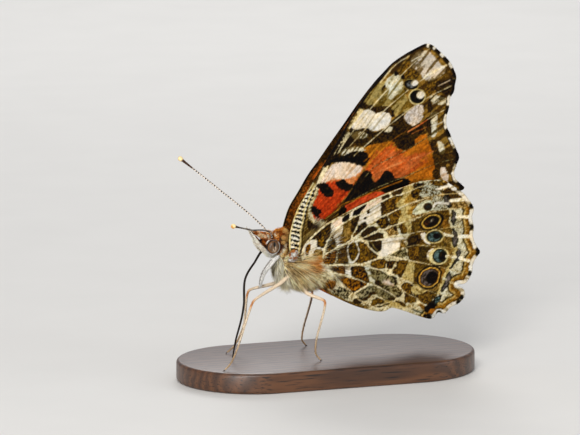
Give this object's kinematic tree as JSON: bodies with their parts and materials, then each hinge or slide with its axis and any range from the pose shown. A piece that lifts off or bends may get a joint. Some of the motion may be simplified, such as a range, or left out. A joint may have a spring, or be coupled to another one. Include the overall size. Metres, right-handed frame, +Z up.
{
  "type": "painted lady butterfly model",
  "caption": "Life-size painted lady butterfly, wings closed over its back, feeding pose with uncoiled proboscis, standing on a flat oblong display base.",
  "frame": {"origin": "centre of the display base's flat underside, on the surface it stands on", "axes": "+Z up; the head points along -X and the tail along +X; the animal's left side faces -Y"},
  "size_m": [0.0366, 0.0243, 0.0384],
  "materials": {
    "wing_scales": "matte scaled membrane, patterned",
    "body_hair": "matte, hairy",
    "head_hair": "matte, hairy",
    "eye": "glossy",
    "leg": "satin, finely scaled",
    "feeler": "satin",
    "base_wood": "satin dark wood"
  },
  "bodies": {
    "root": {"stand_base": "base_wood", "head": "head_hair", "thorax": "body_hair", "abdomen": "body_hair", "eye_left": "eye", "eye_right": "eye", "palp_left": "head_hair", "palp_right": "head_hair", "antenna_left": "feeler", "antenna_right": "feeler", "proboscis": "feeler", "foreleg_left": "leg", "foreleg_right": "leg", "midleg_left": "leg", "midleg_right": "leg", "hindleg_left": "leg", "hindleg_right": "leg", "forewing_left": "wing_scales", "forewing_right": "wing_scales", "hindwing_left": "wing_scales", "hindwing_right": "wing_scales"}
  },
  "joints": []
}
